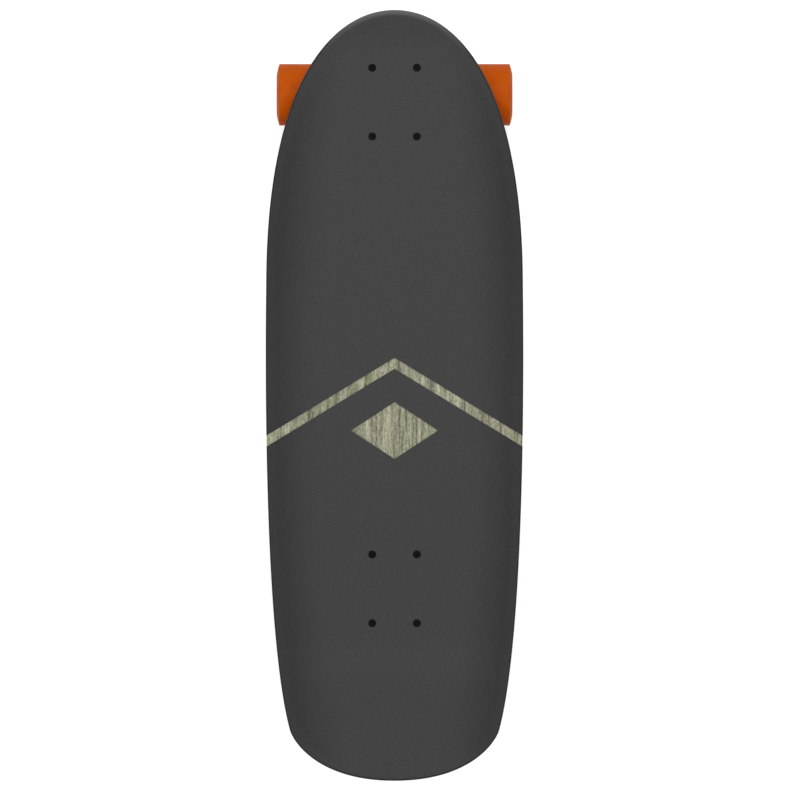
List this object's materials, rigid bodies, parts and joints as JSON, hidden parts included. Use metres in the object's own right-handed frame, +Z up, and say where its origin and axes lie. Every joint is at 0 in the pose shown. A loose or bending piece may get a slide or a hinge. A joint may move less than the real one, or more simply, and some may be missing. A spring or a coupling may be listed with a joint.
{
  "type": "cruiser skateboard",
  "caption": "Cruiser skateboard: pressed concave maple deck with kicktail and grip tape, on two sprung steering trucks with soft wheels.",
  "frame": {"origin": "on the ground under the middle of the deck", "axes": "+Y towards the nose, +Z up, +X to the right of someone facing the nose"},
  "size_m": [0.2376, 0.7112, 0.1279],
  "materials": {
    "maple_veneer": "grey-olive stain, satin lacquer",
    "grip_tape": "coarse grit",
    "orange_urethane": "smooth",
    "black_urethane": "smooth",
    "cast_aluminium": "as cast, tumbled",
    "zinc_plated_steel": "bright zinc",
    "bearing_steel": "ground",
    "black_oxide_steel": "black oxide"
  },
  "bodies": {
    "board": {"deck": "maple_veneer", "grip_front": "grip_tape", "grip_rear": "grip_tape", "front_baseplate": "cast_aluminium", "front_pivot_cup": "black_urethane", "front_kingpin": "zinc_plated_steel", "front_kingpin_nut": "zinc_plated_steel", "front_board_bushing": "black_urethane", "front_road_bushing": "black_urethane", "front_board_washer": "zinc_plated_steel", "front_road_washer": "zinc_plated_steel", "front_deck_bolt_1": "black_oxide_steel", "front_deck_bolt_2": "black_oxide_steel", "front_deck_bolt_3": "black_oxide_steel", "front_deck_bolt_4": "black_oxide_steel", "front_deck_nut_1": "zinc_plated_steel", "front_deck_nut_2": "zinc_plated_steel", "front_deck_nut_3": "zinc_plated_steel", "front_deck_nut_4": "zinc_plated_steel", "rear_baseplate": "cast_aluminium", "rear_pivot_cup": "black_urethane", "rear_kingpin": "zinc_plated_steel", "rear_kingpin_nut": "zinc_plated_steel", "rear_board_bushing": "black_urethane", "rear_road_bushing": "black_urethane", "rear_board_washer": "zinc_plated_steel", "rear_road_washer": "zinc_plated_steel", "rear_deck_bolt_1": "black_oxide_steel", "rear_deck_bolt_2": "black_oxide_steel", "rear_deck_bolt_3": "black_oxide_steel", "rear_deck_bolt_4": "black_oxide_steel", "rear_deck_nut_1": "zinc_plated_steel", "rear_deck_nut_2": "zinc_plated_steel", "rear_deck_nut_3": "zinc_plated_steel", "rear_deck_nut_4": "zinc_plated_steel"},
    "front_truck": {"front_hanger": "cast_aluminium", "front_axle": "zinc_plated_steel", "front_left_races_and_spacer": "bearing_steel", "front_left_axle_nut": "zinc_plated_steel", "front_right_races_and_spacer": "bearing_steel", "front_right_axle_nut": "zinc_plated_steel"},
    "rear_truck": {"rear_hanger": "cast_aluminium", "rear_axle": "zinc_plated_steel", "rear_left_races_and_spacer": "bearing_steel", "rear_left_axle_nut": "zinc_plated_steel", "rear_right_races_and_spacer": "bearing_steel", "rear_right_axle_nut": "zinc_plated_steel"},
    "front_left_roller": {"front_left_wheel": "orange_urethane", "front_left_outboard_bearing": "bearing_steel", "front_left_inboard_bearing": "bearing_steel"},
    "front_right_roller": {"front_right_wheel": "orange_urethane", "front_right_outboard_bearing": "bearing_steel", "front_right_inboard_bearing": "bearing_steel"},
    "rear_left_roller": {"rear_left_wheel": "orange_urethane", "rear_left_outboard_bearing": "bearing_steel", "rear_left_inboard_bearing": "bearing_steel"},
    "rear_right_roller": {"rear_right_wheel": "orange_urethane", "rear_right_outboard_bearing": "bearing_steel", "rear_right_inboard_bearing": "bearing_steel"}
  },
  "joints": [
    {"name": "front_truck_lean", "type": "hinge", "parent": "board", "child": "front_truck", "pos_m": [0, 0.2626, 0.049], "axis": [0, 0.8619, 0.507], "range_deg": [-15, 15], "stiffness_Nm_per_rad": 60, "deforming": ["front_board_bushing", "front_road_bushing"]},
    {"name": "rear_truck_lean", "type": "hinge", "parent": "board", "child": "rear_truck", "pos_m": [0, -0.17095, 0.049], "axis": [0, -0.8619, 0.507], "range_deg": [-15, 15], "stiffness_Nm_per_rad": 60, "deforming": ["rear_board_bushing", "rear_road_bushing"]},
    {"name": "front_left_wheel_spin", "type": "hinge", "parent": "front_truck", "child": "front_left_roller", "pos_m": [-0.0876, 0.2783, 0.0285], "axis": [1, 0, 0], "continuous": true},
    {"name": "front_right_wheel_spin", "type": "hinge", "parent": "front_truck", "child": "front_right_roller", "pos_m": [0.0876, 0.2783, 0.0285], "axis": [1, 0, 0], "continuous": true},
    {"name": "rear_left_wheel_spin", "type": "hinge", "parent": "rear_truck", "child": "rear_left_roller", "pos_m": [-0.0876, -0.18665, 0.0285], "axis": [1, 0, 0], "continuous": true},
    {"name": "rear_right_wheel_spin", "type": "hinge", "parent": "rear_truck", "child": "rear_right_roller", "pos_m": [0.0876, -0.18665, 0.0285], "axis": [1, 0, 0], "continuous": true}
  ]
}
